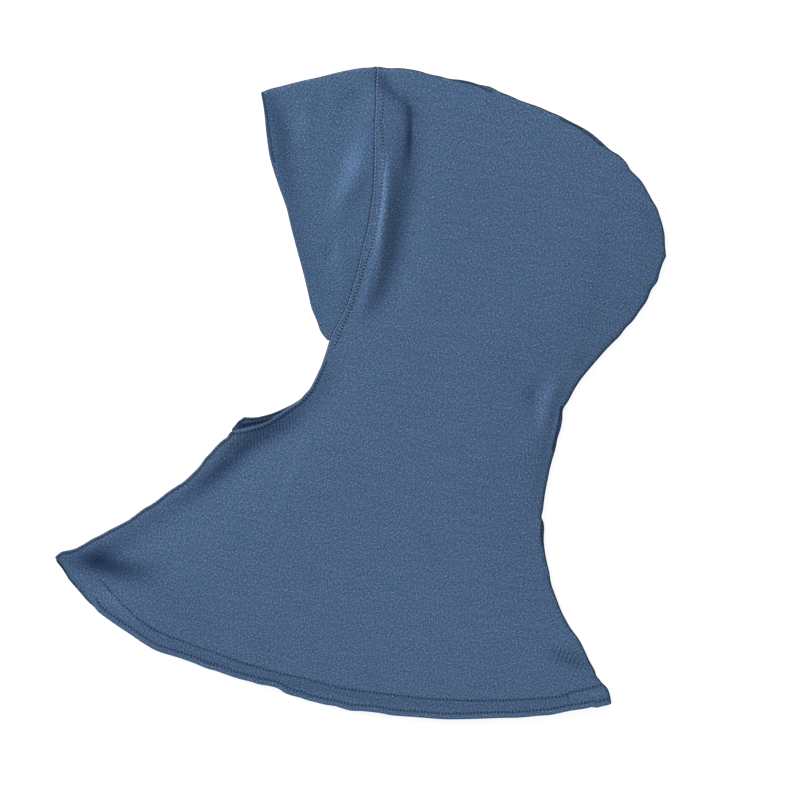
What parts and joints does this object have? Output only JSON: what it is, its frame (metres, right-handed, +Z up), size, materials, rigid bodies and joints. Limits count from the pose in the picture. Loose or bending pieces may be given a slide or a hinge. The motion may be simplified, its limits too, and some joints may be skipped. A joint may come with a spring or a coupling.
{
  "type": "hijab underscarf cap",
  "caption": "Full-cover underscarf hood of stretch jersey with a crescent forehead band, turned face edge and wide bib hem, lying flat on its side.",
  "frame": {"origin": "bottom middle of the hood's box, on the surface it lies on", "axes": "+Z up from the surface, +Y from the bottom hem to the crown, -X towards the face opening and the throat, +X towards the back of the head"},
  "size_m": [0.4035, 0.4297, 0.0136],
  "materials": {
    "panel_jersey": "matt melange knit",
    "band_jersey": "matt melange knit, doubled",
    "hem_jersey": "matt melange knit, turned and stitched",
    "seam_thread": "spun thread over a closed seam"
  },
  "bodies": {
    "root": {"left_panel": "panel_jersey", "right_panel": "panel_jersey", "forehead_band": "band_jersey", "face_hem": "hem_jersey", "bottom_hem": "hem_jersey", "crown_seam": "seam_thread", "throat_seam": "seam_thread"}
  },
  "joints": []
}
